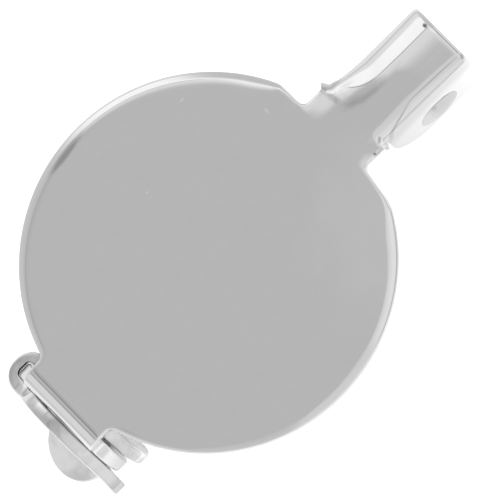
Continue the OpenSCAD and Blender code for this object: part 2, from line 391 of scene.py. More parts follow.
class Blank:
    """The stamped sheet laid flat: u along X, v across it, w the depth below its upper face."""

    def __init__(self, sizes):
        self.sizes = s = sizes
        self.mid = s.sheet / 2
        _, _, self.wall_start, self.wall_depth = self.walls(s.crown_half, 1 / (s.crown - self.mid))
        self.plate_x = PAD_LOW.x + s.fold
        self.fold_length = (s.fold - self.mid) * QUARTER
        self.plate_u = self.plate_x - self.fold_length + (LOCK_Z + s.fold)
        self.hole_v = self.wall_start - RIVET_Z - self.wall_depth
        self.foot_v = self.wall_start + s.ear_depth - self.wall_depth

    def walls(self, crown_half, curvature):
        """For a crown of a given flat half width and curvature: its slope at the side, the radius of the
        shoulder that turns from there to the upright wall, and where the wall starts, across the blank and in
        depth."""
        slope = curvature * crown_half
        reach, drop = bend(crown_half, curvature, 0)
        shoulder = (self.sizes.channel_half - self.mid - reach) / (1 - np.sin(slope))
        return (
            slope,
            shoulder,
            crown_half + shoulder * (QUARTER - slope),
            self.mid + drop + shoulder * np.cos(slope),
        )

    def half_outline(self, lean, neck, round_corner):
        """Outline for v >= 0, from the middle of the channel's end to the top of the hub's hole, and where
        each stretch starts."""
        s = self.sizes
        end, foot, tab, strip = PAD_HIGH.x, self.foot_v, s.tab_half, s.strip_half
        slope = Vector((-math.sin(lean), math.cos(lean)))
        out = Vector((math.cos(lean), math.sin(lean)))
        inner_v = neck + s.neck_fillet
        inner_u = s.trim_x + s.neck_fillet * (1 - out.y) / out.x
        inner = Vector((inner_u, inner_v))
        corner = inner - s.neck_fillet * out
        hub = corner - round_corner * out
        reach = s.pad_radius - round_corner
        hub += (math.sqrt(hub.dot(slope) ** 2 + reach**2 - hub.length_squared) - hub.dot(slope)) * slope
        rim_turn = math.atan2(hub.y, hub.x)
        fillet_v = tab + s.fillet
        fillet_u = -math.sqrt((s.pad_radius + s.fillet) ** 2 - fillet_v**2)
        fillet_turn = math.atan2(fillet_v, fillet_u)
        fold_end = self.plate_x - self.fold_length
        plate = (self.plate_u, 0)
        plate_turn = math.asin(tab / s.plate_radius)
        plate_corner = self.plate_u + s.plate_radius * math.cos(plate_turn)
        lip_v = s.mouth_half + s.lip
        lip_u = -math.sqrt((s.plate_radius - s.lip) ** 2 - lip_v**2)
        lip_turn = math.atan2(lip_v, lip_u)
        hub_turn = math.pi - math.asin(s.mouth_half / s.hub_hole)
        hub_corner = (self.plate_u + s.hub_hole * math.cos(hub_turn), s.mouth_half)
        top = (self.plate_u + s.hub_hole, 0)
        back, front = s.ear_back_radius, s.ear_front_radius
        front_u = s.ear_front + front
        stretches = {
            "end": (line, (end, 0), (end, strip)),
            "back": (line, (end, strip), (end, foot - back)),
            "back_corner": (arc, (end - back, foot - back), back, 0, QUARTER),
            "foot": (line, (end - back, foot), (front_u, foot)),
            "front_corner": (arc, (front_u, foot - front), front, QUARTER, math.pi),
            "front": (line, (s.ear_front, foot - front), (s.ear_front, neck)),
            "neck": (line, (s.ear_front, neck), (inner_u, neck)),
            "neck_fillet": (arc, inner, s.neck_fillet, -QUARTER, lean - math.pi),
            "trim": (line, corner, hub + round_corner * out),
            "trim_corner": (arc, hub, round_corner, lean, rim_turn),
            "disc": (arc, (0, 0), s.pad_radius, rim_turn, fillet_turn),
            "fillet": (arc, (fillet_u, fillet_v), s.fillet, fillet_turn - math.pi, -QUARTER),
            "tab_flat": (line, (fillet_u, tab), (self.plate_x, tab)),
            "tab_fold": (line, (self.plate_x, tab), (fold_end, tab)),
            "tab_drop": (line, (fold_end, tab), (plate_corner, tab)),
            "plate": (arc, plate, s.plate_radius, plate_turn, lip_turn),
            "lip": (arc, (self.plate_u + lip_u, lip_v), s.lip, lip_turn, 3 * QUARTER),
            "mouth": (line, (self.plate_u + lip_u, s.mouth_half), hub_corner),
            "hub": (arc, plate, s.hub_hole, hub_turn, 0),
            "top": (line, top, top),
        }
        return traced(stretches, STEPS)

    def folded(self, points):
        """Carries (u, v, w) points to their place. Across v the sheet curls down over the crown and the
        shoulders to the upright ears, by a share that grows along the neck. The +Y ear's front corner swells
        by a bell curve, and the -Y ear leans out below the sheet. The crown slopes down towards the channel's
        end, the neck's edges dip before the ears, and past the tab's fold line the sheet turns down through a
        quarter circle."""
        s, mid = self.sizes, self.mid
        u, v, w = np.moveaxis(points, -1, 0)
        lift = mid - w
        right = v < 0
        curl_start = s.ear_front - s.curl_length
        curl = smooth(u, curl_start, s.ear_front)
        crown_half = np.where(right, s.crown_half_right, s.crown_half)
        curvature = np.where(right, 1 / (s.crown_right - mid), 1 / (s.crown - mid))
        curvature = curvature * smooth(u, curl_start, s.ear_front + s.crown_length)
        slope, shoulder, wall_start, wall_depth = self.walls(crown_half, curvature)
        strip = s.strip_half
        strip_full = wall_start + strip - wall_depth - (self.wall_start - self.wall_depth)
        across = np.minimum(np.abs(v), strip) * (1 + curl * (strip_full / strip - 1))
        across = across + np.maximum(np.abs(v) - strip, 0)
        y, z, turn, tilt, start = 0, -mid, 0, 0, 0
        for width, bent, gain in (
            (crown_half, curl * curvature, slope * curl),
            (wall_start - crown_half, curl / shoulder, (QUARTER - slope) * curl),
            (ENDLESS, 0, 0),
        ):
            travel = np.clip(across - start, 0, width)
            forward, down = bend(travel, bent, turn)
            y, z = y + forward, z - down
            tilt = tilt + bent * travel
            turn = turn + gain
            start = start + width
        corner = np.exp(-(((u - s.ear_front) / s.bulge_length) ** 2)) * smooth(v, s.dip_half, strip)
        y = np.sign(v) * (y + lift * np.sin(tilt)) + s.bulge * corner
        z = z + lift * np.cos(tilt)
        depth = np.maximum(-s.sheet - s.edge - z, 0) * (curl == 1)
        y = y - math.tan(s.splay) * depth * right
        slope_length = s.droop_full - s.droop_start
        run = np.clip((u - s.droop_start) / slope_length, 0, 1)
        # The slope grows by the curve of smooth, so the crown falls by that curve's integral
        fall = slope_length * (run**3 - run**4 / 2) + np.maximum(u - s.droop_full, 0)
        z = z - s.droop * np.cos(tilt) * fall
        dip = smooth(np.abs(v), s.dip_half, s.neck_right) * smooth(u, s.dip_start, curl_start)
        z = z - s.dip * dip * (1 - curl)
        past = np.maximum(self.plate_x - u, 0)
        fold_turn = np.minimum(past, self.fold_length) / (s.fold - mid)
        radius = s.fold - mid + lift
        x = np.where(past > 0, self.plate_x - radius * np.sin(fold_turn), u)
        fold_z = -s.fold + radius * np.cos(fold_turn) - np.maximum(past - self.fold_length, 0)
        return np.stack([x, y, np.where(past > 0, fold_z, z)], axis=-1)


def rolled_edge(points, starts, sizes):
    """Radius that the roll-over adds at each outline point: round the disc, where its width changes with u,
    and at the channel's end; none on the neck, the ears, the tab and the catch plate."""
    places = np.arange(len(points))
    rise = smooth(places, starts["trim"], starts["disc"] + RIM_GROWS)
    fall = 1 - smooth(places, starts["fillet"] - RIM_FADES, starts["tab_flat"])
    rim = sizes.rim + sizes.rim_change * points[:, 0] / sizes.pad_radius
    end = 1 - smooth(places, starts["back"], starts["back"] + RIM_FADES)
    width = rise * fall * (rim - sizes.edge) + end * (sizes.end_rim - sizes.edge)
    return width / math.sin(sizes.roll)


def sheet_patches(sizes):
    """All grids of the folded sheet: its edge, upper and lower faces, and the walls of the rivet's holes."""
    blank = Blank(sizes)
    left, at = blank.half_outline(sizes.trim_left, sizes.neck_left, sizes.trim_corner_left)
    right, _ = blank.half_outline(sizes.trim_right, sizes.neck_right, sizes.trim_corner_right)
    right = right * (1, -1)
    outline = np.concatenate([left, right[-2:0:-1]])
    offsets = mitres(outline)
    wide = rolled_edge(left, at, sizes)
    wide = np.concatenate([wide, wide[-2:0:-1]])
    profile = edge_profile(sizes.edge, sizes.edge, sizes.sheet, wide, sizes.roll)
    patches = [edge_grid(outline, offsets, profile)]
    half = len(left)
    plain = outline + sizes.edge * offsets
    hole_edge = sizes.edge / 2
    ears = [ear_loop(side, at) for side in (plain[:half], plain[-np.arange(half)])]
    rings = [hole_ring(loop, sign, blank, hole_edge) for loop, sign in zip(ears, (1, -1))]
    upper = outline + (sizes.edge + wide * math.sin(sizes.roll))[:, None] * offsets
    for loop, level in ((upper, 0.0), (plain, sizes.sheet)):
        sides = loop[:half], loop[-np.arange(half)]
        patches += [(grid3(grid, level), closed) for grid, closed in face_grids(sides, at, rings)]
    inset, depth = edge_profile(hole_edge, hole_edge, sizes.sheet)
    for loop, sign in zip(ears, (1, -1)):
        patches.append((grid3(hole_ring(loop, sign, blank, inset[..., None]), depth), True))
    return [(blank.folded(grid), closed) for grid, closed in patches]


def channel_side(side, at):
    """Points of the crown's side line, from the channel's end to the ears' front corner."""
    return line(side[at["back"]], side[at["neck"]], CHANNEL_STEPS)


def ear_loop(side, at):
    """Closed loop round an ear's face: the crown's side line, then the front, the foot and the back."""
    return np.concatenate([channel_side(side, at), side[at["neck"] : at["back"] : -1]])


def hole_ring(loop, sign, blank, extra):
    """Points round the rivet's hole, each towards its point of the loop, and farther out than the hole by
    extra."""
    centre = np.array([RIVET_X, sign * blank.hole_v])
    out = loop - centre
    return centre + (blank.sizes.rivet_hole + extra) * out / np.linalg.norm(out, axis=1, keepdims=True)


def face_grids(sides, at, rings):
    """Flat grids that fill a face: the crown and neck, the ears, the disc, the tab and the catch plate."""
    rows = [np.concatenate([channel_side(side, at), side[at["neck"] : at["trim"] + 1]]) for side in sides]
    strip = columns_between(*rows, 2 * STEPS["end"])
    grids = [(strip, False)]
    for side, ring in zip(sides, rings):
        grids.append((between(ear_loop(side, at), ring, EAR_ROWS), True))
    tab = columns_between(*(side[at["tab_flat"] : at["plate"] + 1] for side in sides), 2 * TAB_HALF_STEPS)
    grids.append((tab, False))
    left_rim, right_rim = (side[at["trim"] + 1 : at["tab_flat"]] for side in sides)
    disc = np.concatenate([strip[-1], right_rim, tab[0][::-1], left_rim[::-1]])
    grids.append((between(np.zeros_like(disc), disc, DISC_ROWS), True))
    for side, row in zip(sides, (tab[-1][TAB_HALF_STEPS::-1], tab[-1][TAB_HALF_STEPS:])):
        outer = np.concatenate([row[:-1], side[at["plate"] : at["mouth"] + 1]])
        inner = side[at["top"] : at["mouth"] - 1 : -1]
        grids.append((between(outer, inner, PLATE_ROWS), False))
    return grids


# Steps along the stretches of the lock's two halves, first those that both have, and of its hub
THUMB_STEPS = 28
BRIDGE_STEPS = 26
BOTH_STEPS = dict(edge=BRIDGE_STEPS, fillet=6, ring=40, upper=10, tip=14, bridge=BRIDGE_STEPS)
OUTER_STEPS = dict(lower=3, corner=3, thumb=THUMB_STEPS, sill=8) | BOTH_STEPS
INNER_STEPS = BOTH_STEPS | dict(
    lower=10, low_ring=3, lip=6, slot=43, slot_top=40, slot_back=42, back_lip=6, foot_ring=10, foot=6, sill=4,
)
HUB_STEPS = dict(ring=60, slot=18, slot_top=24, slot_back=18)
# Rows of points on the thumb tab, the outer flange and the slotted flange, by their share of the way across
THUMB_ROWS = (0, 0.04, 0.09, 0.15, 0.22, 0.3, 0.38, 0.46, 0.6, 0.8, 1)
FLANGE_ROWS = (0, 0.5, 0.9, 1)
SLOT_ROWS = (0, 0.5, 1)
BRIDGE_ROWS = 10
# Stretch of the outer face before its corner; on the inner face it runs up to that face's own corner
LEAD = 0.3 * MM
# Half width of the part that bends with the thumb tab, over the tab's own
BEND_WIDTH = 1.2
# Depth to which the hub's ends are sunk into the flanges
SUNK = 0.03 * MM


class Strip:
    """The lock's strip laid flat: a along it, from the outer flange over the bridge to the inner flange, h
    upwards, w the depth below its outer face. The flanges' middles lie on the pin's axis, at a = 0 and a = 2
    * middle."""

    def __init__(self, sizes):
        self.sizes = s = sizes
        self.start = s.bridge + s.wall - s.corner - LEAD
        self.arc_start = self.start + LEAD
        self.arc_end = self.arc_start + s.corner * QUARTER
        self.outer_x = LOCK_X - s.gap - s.sheet
        self.half_length = (LOCK_HIGH.x - self.outer_x) / 2
        self.middle = self.arc_end + self.half_length - s.corner
        self.shoulder = math.sqrt((s.flange + s.fillet) ** 2 - (s.bridge_top + s.fillet) ** 2)
        self.foot = math.sqrt((s.flange + s.fillet) ** 2 - (s.bridge_foot + s.fillet) ** 2)

    def shared(self, reach):
        """The stretches of both halves from the bridge's upper middle round the fillet, the flange and the
        arm's end, each tangent to the next; then the arm's lower turn round the flange and its lower side's
        two ends."""
        s = self.sizes
        centre = (self.shoulder, s.bridge_top + s.fillet)
        turn = math.atan2(centre[1], centre[0])
        distance = reach - s.arm
        lean = math.acos((s.flange - s.arm) / distance)
        axis = math.pi + s.drop
        end = Vector((math.cos(axis), math.sin(axis))) * distance
        above, below = axis - lean, axis + lean
        up, down = [Vector((math.cos(side), math.sin(side))) for side in (above, below)]
        stretches = {
            "edge": (line, (self.middle, s.bridge_top), (self.shoulder, s.bridge_top)),
            "fillet": (arc, centre, s.fillet, -QUARTER, turn - math.pi),
            "ring": (arc, (0, 0), s.flange, turn, above),
            "upper": (line, s.flange * up, end + s.arm * up),
            "tip": (arc, end, s.arm, above, below),
        }
        return stretches, below, end + s.arm * down, s.flange * down

    def outer_half(self):
        """Outline of the outer flange's half, anticlockwise from the bridge's upper middle to its lower
        middle."""
        s = self.sizes
        low = -s.bridge_foot
        stretches, _, tip, root = self.shared(s.reach)
        corner = tip.lerp(root, (low - tip.y) / (root.y - tip.y))
        stretches |= {
            "lower": (line, tip, corner),
            "corner": (line, corner, (s.thumb_y - s.thumb, low)),
            "thumb": (arc, (s.thumb_y, low), (s.thumb, s.thumb_reach), math.pi, 2 * math.pi),
            "sill": (line, (s.thumb_y + s.thumb, low), (self.shoulder, low)),
            "bridge": (line, (self.shoulder, low), (self.middle, low)),
        }
        return traced(stretches, OUTER_STEPS)

    def inner_half(self):
        """Outline of the slotted inner flange's half, in the outer one's place: the same way round as
        outer_half."""
        s = self.sizes
        low = -s.bridge_foot
        stretches, below, tip, root = self.shared(s.inner_reach)
        lip = (s.slot + s.lip, -math.sqrt((s.flange - s.lip) ** 2 - (s.slot + s.lip) ** 2))
        lip_turn = math.atan2(lip[1], lip[0])
        foot = (self.foot, low - s.fillet)
        foot_turn = math.atan2(foot[1], foot[0])
        stretches |= {
            "lower": (line, tip, root),
            "low_ring": (arc, (0, 0), s.flange, below, math.pi - lip_turn),
            "lip": (arc, (-lip[0], lip[1]), s.lip, math.pi - lip_turn, 2 * math.pi),
            "slot": (line, (-s.slot, lip[1]), (-s.slot, 0)),
            "slot_top": (arc, (0, 0), s.slot, math.pi, 0),
            "slot_back": (line, (s.slot, 0), (s.slot, lip[1])),
            "back_lip": (arc, lip, s.lip, -math.pi, lip_turn),
            "foot_ring": (arc, (0, 0), s.flange, lip_turn, foot_turn),
            "foot": (arc, foot, s.fillet, foot_turn + math.pi, QUARTER),
            "sill": (line, (self.foot, low), (self.shoulder, low)),
            "bridge": (line, (self.shoulder, low), (self.middle, low)),
        }
        return traced(stretches, INNER_STEPS)

    def folded(self, points):
        """Carries (a, h, w) points to their place. In plan the outer face runs straight, round a corner of
        the bridge's outside radius and straight again, the inner face round its own smaller radius, and w
        goes from one to the other. Below the outer flange's foot the thumb tab bends away through its lean,
        and past the flanges the arms' lower sides lean outwards."""
        s, sheet = self.sizes, self.sizes.sheet
        a, h, w = np.moveaxis(points, -1, 0)
        near = self.middle - np.abs(a - self.middle)
        run = np.clip(near - self.start, 0, self.arc_start - self.start)
        turn = np.clip((near - self.arc_start) / s.corner, 0, QUARTER)
        rest = np.maximum(near - self.arc_end, 0)
        straight = np.minimum(near, self.start)
        outer_x = s.corner * (1 - np.cos(turn)) + rest
        outer_y = straight + run + s.corner * np.sin(turn)
        inner_run = s.bridge - s.inner_corner - self.start
        inner_rest = rest * (self.half_length - sheet - s.inner_corner) / (self.half_length - s.corner)
        inner_x = sheet + s.inner_corner * (1 - np.cos(turn)) + inner_rest
        inner_y = straight + run * inner_run / (self.arc_start - self.start) + s.inner_corner * np.sin(turn)
        share = w / sheet
        x = outer_x * (1 - share) + inner_x * share
        y = outer_y * (1 - share) + inner_y * share
        outer = a < self.middle
        below = np.where(outer, np.maximum(-s.bridge_foot - h, 0), 0)
        on_thumb = (below > 0) & (np.abs(a - s.thumb_y) < s.thumb * BEND_WIDTH)
        middle_radius = s.thumb_bend + sheet / 2
        bend_turn = np.minimum(below / middle_radius, s.thumb_lean)
        beyond = below - bend_turn * middle_radius
        radius = s.thumb_bend + w
        thumb_x = radius * np.cos(bend_turn) - s.thumb_bend - beyond * math.sin(s.thumb_lean)
        thumb_z = -s.bridge_foot - radius * np.sin(bend_turn) - beyond * math.cos(s.thumb_lean)
        x = np.where(on_thumb, thumb_x, x)
        z = np.where(on_thumb, thumb_z, h)
        flare = np.where(outer, math.tan(s.flare), math.tan(s.inner_flare))
        lean = flare * smooth(-near, s.flare_start, s.reach - s.arm)
        x = x - lean * np.maximum(s.arm / 2 - h, 0) * (below == 0)
        x = np.where(a > self.middle, 2 * self.half_length - x, x)
        return np.stack([x + self.outer_x, y, z + LOCK_Z], axis=-1)


def lock_patches(sizes):
    """All grids of the lock's strip, folded: its edge, and its outer and inner faces with the thumb tab, the
    bridge and the two flanges; and all grids of its hub."""
    strip = Strip(sizes)
    outer, at = strip.outer_half()
    inner, by = strip.inner_half()
    back = inner[::-1] * (-1, 1) + (2 * strip.middle, 0)
    outline = np.concatenate([outer, [(strip.middle, -sizes.bridge_foot)], back[:-1]])
    offsets = mitres(outline)
    patches = [edge_grid(outline, offsets, edge_profile(sizes.outer_edge, sizes.inner_edge, sizes.sheet))]
    for radius, level in ((sizes.outer_edge, 0.0), (sizes.inner_edge, sizes.sheet)):
        loop = outline + radius * offsets
        near = loop[: len(outer) + 1]
        far = np.concatenate([loop[:1], loop[len(outer) :][::-1]])
        top = np.concatenate([near[: at["fillet"] + 1][::-1], far[1 : by["fillet"] + 1]])
        foot = np.concatenate([near[at["bridge"] :], far[by["bridge"] : -1][::-1]])
        bridge = columns_between(top, foot, BRIDGE_ROWS)
        edge = near[at["thumb"] : at["sill"] + 1]
        shelf = np.concatenate([line(edge[0], edge[-1], THUMB_STEPS), edge[-1:]])
        thumb = between(shelf, edge, THUMB_ROWS)
        before, after = near[at["fillet"] : at["thumb"]], near[at["sill"] + 1 : at["bridge"]]
        ring = np.concatenate([before, shelf, after, bridge[0][:0:-1]])
        flange = between(np.zeros_like(ring), ring, FLANGE_ROWS)
        before, after = far[by["back_lip"] : by["bridge"]], far[by["fillet"] : by["slot"] + 1]
        rim = np.concatenate([before, bridge[-1][:0:-1], after])
        slot = far[by["slot"] : by["back_lip"] + 1][::-1]
        patches += [(grid3(grid, level), False) for grid in (bridge, thumb, between(rim, slot, SLOT_ROWS))]
        patches.append((grid3(flange, level), True))
    return [(strip.folded(grid), closed) for grid, closed in patches], hub_patches(sizes, strip.outer_x)


def hub_patches(sizes, outer_x):
    """All grids of the slotted hub between the flanges: an open ring in (y, z) carried along X."""
    turn = math.acos(sizes.slot / sizes.hub)
    foot = -sizes.hub * math.sin(turn)
    stretches = {
        "ring": (arc, (0, 0), sizes.hub, -turn, math.pi + turn),
        "slot": (line, (-sizes.slot, foot), (-sizes.slot, 0)),
        "slot_top": (arc, (0, 0), sizes.slot, math.pi, 0),
        "slot_back": (line, (sizes.slot, 0), (sizes.slot, foot)),
    }
    outline, at = traced(stretches, HUB_STEPS)
    long = LOCK_HIGH.x - outer_x - 2 * sizes.sheet + 2 * SUNK
    offsets = mitres(outline)
    patches = [edge_grid(outline, offsets, edge_profile(SUNK, SUNK, long))]
    loop = outline + SUNK * offsets
    slot = np.concatenate([loop[at["slot"] :], loop[:1]])[::-1]
    for level in (0.0, long):
        patches.append((grid3(between(loop[: at["slot"] + 1], slot, (0, 1)), level), False))
    start = np.array([outer_x + sizes.sheet - SUNK, 0, LOCK_Z])
    return [(np.roll(grid, 1, axis=-1) + start, closed) for grid, closed in patches]


def lathe(points):
    """Closed surface of revolution about the Y axis: each (radius, y) point of the profile becomes a ring."""
    turn = np.linspace(0, 2 * math.pi, LATHE_STEPS, endpoint=False)
    radius, along = np.asarray(points, float).T[:, :, None]
    along = np.broadcast_to(along, (len(points), LATHE_STEPS))
    return np.stack([radius * np.cos(turn), along, radius * np.sin(turn)], axis=-1)


def rivet_patches(sizes, splay):
    """The rivet's lathe about the hinge's axis: at each end a shallow dome with a round shoulder, then the
    straight shank. The -Y end leans with its ear."""
    turn = np.linspace(0, QUARTER, EDGE_STEPS)[:, None]
    share = np.linspace(0, 1, DOME_STEPS + 1)[:-1, None]
    shoulder = sizes.rise - sizes.crown
    inner = sizes.head - shoulder
    rim = RIVET_HIGH.y - sizes.crown
    dome = np.hstack([inner * share, rim + sizes.crown * (1 - share**2)])
    edge = np.hstack([inner + shoulder * np.sin(turn), rim - shoulder * (1 - np.cos(turn))])
    end = np.concatenate([dome, edge, [(sizes.radius, rim - shoulder)]])
    grid = lathe(np.concatenate([end, end[::-1] * (1, -1) - (0, sizes.splay)]))
    grid[..., 1] += math.tan(splay) * grid[..., 2] * (grid[..., 1] < 0)
    return [(grid + np.array([RIVET_X, 0, RIVET_Z]), True)]


def wire(tree, kind, inputs, **settings):
    """New shader node: its settings, and inputs by name or place, each a socket or a plain value."""
    node = tree.nodes.new("ShaderNode" + kind)
    for name, value in settings.items():
        setattr(node, name, value)
    for key, value in inputs.items():
        if isinstance(key, str):
            socket = next(socket for socket in node.inputs if key in (socket.identifier, socket.name))
        else:
            socket = node.inputs[key]
        if isinstance(value, bpy.types.NodeSocket):
            tree.links.new(value, socket)
        else:
            socket.default_value = value
    return node


def maths(tree, operation, *values):
    """Output of a Math node."""
    return wire(tree, "Math", dict(enumerate(values)), operation=operation).outputs[0]


def blend(tree, share, first, second):
    """Colour between two others."""
    inputs = {"Factor_Float": share, "A_Color": first, "B_Color": second}
    mix = wire(tree, "Mix", inputs, data_type="RGBA")
    return next(socket for socket in mix.outputs if socket.identifier == "Result_Color")


def ease(tree, value, low, high):
    """0 at low and 1 at high with soft ends."""
    inputs = {"Value": value, "From Min": low, "From Max": high}
    return wire(tree, "MapRange", inputs, interpolation_type="SMOOTHSTEP").outputs["Result"]


def new_group(name, inputs, outputs):
    """Node group with a place input, number inputs with their defaults, and number outputs."""
    tree = bpy.data.node_groups.new(name, "ShaderNodeTree")
    tree.interface.new_socket("Place", in_out="INPUT", socket_type="NodeSocketVector")
    for key, value in inputs.items():
        tree.interface.new_socket(key, in_out="INPUT", socket_type="NodeSocketFloat").default_value = value
    for key in outputs:
        tree.interface.new_socket(key, in_out="OUTPUT", socket_type="NodeSocketFloat")
    return tree, tree.nodes.new("NodeGroupInput").outputs, tree.nodes.new("NodeGroupOutput").inputs


# Range of the broad noise that shows as haze, and the scale along X that draws fine noise out into hairlines
HAZE_LOW, HAZE_HIGH = 0.38, 0.68
HAIR_SCALE = 0.04
# Solid share of a speck's and of a patch's radius, before it fades out
SPECK_CORE, PATCH_CORE = 0.5, 0.35


def polish_group():
    """Uneven polish: broad cloudy noise for the haze, and fine noise stretched along the rolling direction
    for the hairlines."""
    inputs = {"Size": 1.5 * MM, "Hairline": 0.25 * MM}
    tree, given, wanted = new_group("uneven_polish", inputs, ("Haze", "Height"))
    size = maths(tree, "DIVIDE", 1.0, given["Size"])
    inputs = {"Vector": given["Place"], "Scale": size, "Detail": 3.0, "Roughness": 0.55}
    cloud = wire(tree, "TexNoise", inputs)
    tree.links.new(ease(tree, cloud.outputs["Fac"], HAZE_LOW, HAZE_HIGH), wanted["Haze"])
    inputs = {"Vector": given["Place"], "Scale": (HAIR_SCALE, 1.0, 1.0)}
    along = wire(tree, "Mapping", inputs).outputs[0]
    fine = maths(tree, "DIVIDE", 1.0, given["Hairline"])
    hair = wire(tree, "TexNoise", {"Vector": along, "Scale": fine, "Detail": 2.0})
    tree.links.new(hair.outputs["Fac"], wanted["Height"])
    return tree


def specks_group():
    """Sparse specks: round spots about the points of a cell pattern, kept only in cells whose random shade is
    below a limit."""
    inputs = {"Spacing": 1.2 * MM, "Radius": 0.05 * MM, "Share": 0.2}
    tree, given, wanted = new_group("specks", inputs, ("Mask",))
    scale = maths(tree, "DIVIDE", 1.0, given["Spacing"])
    cells = wire(tree, "TexVoronoi", {"Vector": given["Place"], "Scale": scale})
    away = maths(tree, "MULTIPLY", cells.outputs["Distance"], given["Spacing"])
    away = maths(tree, "DIVIDE", away, given["Radius"])
    spot = maths(tree, "SUBTRACT", 1.0, ease(tree, away, SPECK_CORE, 1.0))
    shade = wire(tree, "SeparateColor", {"Color": cells.outputs["Color"]}).outputs[0]
    kept = maths(tree, "LESS_THAN", shade, given["Share"])
    tree.links.new(maths(tree, "MULTIPLY", spot, kept), wanted["Mask"])
    return tree


def patch_group():
    """One soft patch, for pits and for painted shade and highlights: 1 at the middle of a unit ball and 0
    outside it, its edge broken up by noise.
    """
    tree, given, wanted = new_group("worn_patch", {"Ragged": 0.4, "Grain": 3.0}, ("Mask",))
    away = wire(tree, "VectorMath", {0: given["Place"]}, operation="LENGTH").outputs["Value"]
    noise = wire(tree, "TexNoise", {"Vector": given["Place"], "Scale": given["Grain"], "Detail": 3.0})
    shift = maths(tree, "MULTIPLY", maths(tree, "SUBTRACT", noise.outputs["Fac"], 0.5), given["Ragged"])
    away = maths(tree, "ADD", away, shift)
    tree.links.new(maths(tree, "SUBTRACT", 1.0, ease(tree, away, PATCH_CORE, 1.0)), wanted["Mask"])
    return tree


def group(name):
    """The named node group, made once."""
    makers = {"uneven_polish": polish_group, "specks": specks_group, "worn_patch": patch_group}
    return bpy.data.node_groups.get(name) or makers[name]()


def place_group(tree, name, place, **values):
    """A node group placed in a material with its own values; returns its outputs."""
    node = tree.nodes.new("ShaderNodeGroup")
    node.node_tree = group(name)
    tree.links.new(place, node.inputs["Place"])
    for key, value in values.items():
        node.inputs[key.capitalize()].default_value = value
    return node.outputs


def new_material(name):
    """Empty material: its tree, its Principled shader and the object's own coordinates."""
    material = bpy.data.materials.new(name)
    material.use_nodes = True
    tree = material.node_tree
    tree.nodes.clear()
    shader = tree.nodes.new("ShaderNodeBsdfPrincipled")
    wire(tree, "OutputMaterial", {"Surface": shader.outputs["BSDF"]})
    return material, tree, shader, tree.nodes.new("ShaderNodeTexCoord").outputs["Object"]


def dimmed(tone, share=1.0):
    """A colour with its alpha, each of its parts times share."""
    return (*(share * value for value in tone), 1)


def tinted(tree, base, mask, share, tint):
    """The colour tint laid over base by a mask times share."""
    return blend(tree, maths(tree, "MULTIPLY", mask, share), base, tint)


def ball(tree, place, middle, half, turn=0, **values):
    """Mask of a soft patch for pits, painted shade and painted highlights, given in millimetres: its middle,
    its half sizes and its turn about Z in degrees."""
    inputs = {
        "Vector": place,
        "Location": MM * np.array(middle),
        "Rotation": (0, 0, math.radians(turn)),
        "Scale": MM * np.array(half),
    }
    near = wire(tree, "Mapping", inputs, vector_type="TEXTURE").outputs[0]
    return place_group(tree, "worn_patch", near, **values)["Mask"]


# The plate's haze and pits: how dark the haze is, how strongly the pits show, and the roughness each adds
HAZE_SHADE, PIT_STRENGTH = 0.75, 0.5
HAZE_ROUGHNESS, PIT_ROUGHNESS = 0.02, 0.2
# Strength and height of the hairlines
HAIR_STRENGTH, HAIR_HEIGHT = 0.04, 0.002 * MM


def silver_plate(name, tone, finish, marks=(), cloud=0.07):
    """Bright plate: cloudy haze in its gloss, and in its tone by the share cloud, hairlines, sparse pits, and
    the patches of a table of marks: painted shade, painted highlights and pits."""
    material, tree, shader, place = new_material(name)
    shader.inputs["Metallic"].default_value = 1.0
    polish = place_group(tree, "uneven_polish", place)
    base = tinted(tree, dimmed(tone), polish["Haze"], cloud, dimmed(tone, HAZE_SHADE))
    # Each mark lays painted shade, a painted highlight or a pit's colour over the plate
    for shade, share, middle, turn, half in marks:
        mask = ball(tree, place, middle, half, turn)
        base = tinted(tree, base, mask, share, dimmed(getattr(finish, shade)))
    pits = place_group(tree, "specks", place)["Mask"]
    base = tinted(tree, base, pits, PIT_STRENGTH, dimmed(finish.pit))
    tree.links.new(base, shader.inputs["Base Color"])
    rough = maths(tree, "MULTIPLY_ADD", polish["Haze"], HAZE_ROUGHNESS, finish.gloss)
    tree.links.new(maths(tree, "MULTIPLY_ADD", pits, PIT_ROUGHNESS, rough), shader.inputs["Roughness"])
    inputs = {"Height": polish["Height"], "Strength": HAIR_STRENGTH, "Distance": HAIR_HEIGHT}
    tree.links.new(wire(tree, "Bump", inputs).outputs["Normal"], shader.inputs["Normal"])
    return material


def dress(piece, material, body=None, node=None):
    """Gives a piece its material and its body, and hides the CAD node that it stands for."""
    piece.data.materials.clear()
    piece.data.materials.append(material)
    if body:
        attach(piece, body)
    if node:
        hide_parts(node)
